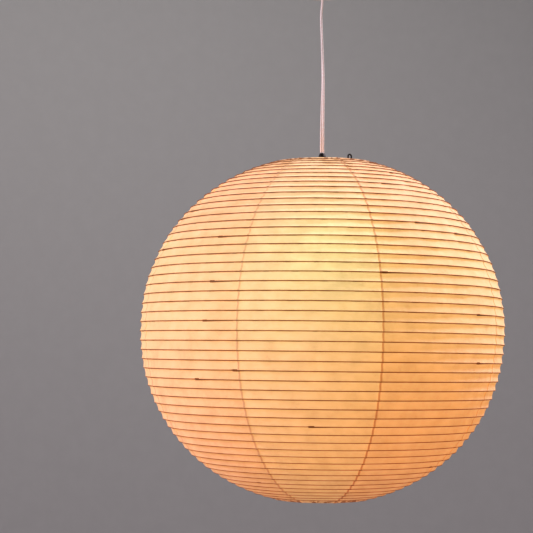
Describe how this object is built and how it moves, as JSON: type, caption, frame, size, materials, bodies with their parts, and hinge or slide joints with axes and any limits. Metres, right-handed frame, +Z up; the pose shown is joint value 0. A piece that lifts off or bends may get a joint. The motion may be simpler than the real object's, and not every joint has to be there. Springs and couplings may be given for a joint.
{
  "type": "paper pendant lantern",
  "caption": "Round ribbed paper lantern on a hanging cord: paper panels over a spiral splint, hoops, a sprung wire stretcher, lampholder, bulb and ceiling canopy.",
  "frame": {"origin": "the middle of the mounting strap's top face, in the plane of the ceiling", "axes": "+Z up into the ceiling; the lantern hangs down -Z; -Y is the lantern's front, and the stretcher's showing end loop is towards -Y and +X"},
  "size_m": [0.5498, 0.5495, 0.8152],
  "materials": {
    "washi": "thin fibrous kozo paper, lit from inside",
    "bamboo": "split bamboo splint, dull",
    "black_wire": "black oxide spring wire",
    "hoop_wire": "galvanised wire",
    "black_resin": "moulded black phenolic",
    "brass": "pressed",
    "steatite": "dry-pressed, unglazed",
    "opal": "opal polycarbonate",
    "white_plastic": "moulded",
    "nickel": "nickel plate",
    "clear_pvc": "clear flat twin cord",
    "white_enamel": "stove enamel",
    "zinc_steel": "zinc plate"
  },
  "bodies": {
    "ceiling_fitting": {"mounting_strap": "zinc_steel", "canopy_cup": "white_enamel", "left_canopy_stud": "zinc_steel", "right_canopy_stud": "zinc_steel", "left_cap_nut": "white_enamel", "right_cap_nut": "white_enamel", "terminal_block": "white_plastic", "terminal_live_screw": "brass", "terminal_neutral_screw": "brass"},
    "exit_bush": {"exit_bush": "white_plastic"},
    "hanging_cord": {"pendant_cord": "clear_pvc", "cord_stop": "white_plastic"},
    "lamp": {"cord_grip": "black_resin", "holder_cap": "black_resin", "holder_body": "black_resin", "holder_insulator": "steatite", "holder_thread_shell": "brass", "holder_centre_contact": "brass", "holder_live_screw": "brass", "holder_neutral_screw": "brass", "stretcher_clamp_ring": "black_wire", "front_stretcher_arm": "black_wire", "back_stretcher_arm": "black_wire", "top_hoop": "hoop_wire", "bamboo_rib": "bamboo", "paper_panel_1": "washi", "paper_panel_2": "washi", "paper_panel_3": "washi", "paper_panel_4": "washi", "paper_panel_5": "washi", "paper_panel_6": "washi", "paper_panel_7": "washi", "paper_panel_8": "washi"},
    "retaining_ring": {"retaining_ring": "black_resin"},
    "front_leg": {"front_stretcher_leg": "black_wire"},
    "back_leg": {"back_stretcher_leg": "black_wire"},
    "bottom_hoop": {"bottom_hoop": "hoop_wire"},
    "bulb_tip": {"bulb_tip_contact": "brass"},
    "bulb": {"bulb_insulator": "black_resin", "bulb_cap": "nickel", "bulb_collar": "white_plastic", "bulb_globe": "opal", "led_board": "steatite"}
  },
  "joints": [
    {"name": "swing_fore_aft", "type": "hinge", "parent": "ceiling_fitting", "child": "exit_bush", "pos_m": [0, 0, -0.04034], "axis": [1, 0, 0], "range_deg": [-20, 20]},
    {"name": "swing_sideways", "type": "hinge", "parent": "exit_bush", "child": "hanging_cord", "pos_m": [0, 0, -0.04034], "axis": [0, 1, 0], "range_deg": [-20, 20]},
    {"name": "lantern_turn", "type": "hinge", "parent": "hanging_cord", "child": "lamp", "pos_m": [0, 0, -0.295], "axis": [0, 0, 1], "range_deg": [-180, 180]},
    {"name": "front_leg_squeeze", "type": "hinge", "parent": "lamp", "child": "front_leg", "pos_m": [0.04109, -0.05355, -0.31164], "axis": [0.7934, 0.6088, 0], "range_deg": [0, 4], "stiffness_Nm_per_rad": 0.3, "springref_deg": -6.88},
    {"name": "back_leg_squeeze", "type": "hinge", "parent": "lamp", "child": "back_leg", "pos_m": [-0.04109, 0.05355, -0.31164], "axis": [-0.7934, -0.6088, 0], "range_deg": [0, 4], "stiffness_Nm_per_rad": 0.3, "springref_deg": -6.88},
    {"name": "shade_collapse", "type": "slide", "parent": "lamp", "child": "bottom_hoop", "axis": [0, 0, 1], "range_m": [0, 0.4546], "deforming": ["paper_panel_1", "paper_panel_2", "paper_panel_3", "paper_panel_4", "paper_panel_5", "paper_panel_6", "paper_panel_7", "paper_panel_8", "bamboo_rib"]},
    {"name": "ring_release", "type": "slide", "parent": "lamp", "child": "retaining_ring", "axis": [0, 0, -1], "range_m": [0, 0.009]},
    {"name": "bulb_travel", "type": "slide", "parent": "lamp", "child": "bulb_tip", "axis": [0, 0, -1], "range_m": [0, 0.0199]},
    {"name": "bulb_unscrew", "type": "hinge", "parent": "bulb_tip", "child": "bulb", "pos_m": [0, 0, -0.427], "axis": [0, 0, -1], "range_deg": [0, 1980]}
  ],
  "couplings": [
    {"joint": "bulb_unscrew", "follows": "bulb_travel", "rad_per_m": 1730.9},
    {"joint": "back_leg_squeeze", "follows": "front_leg_squeeze", "ratio": 1}
  ]
}
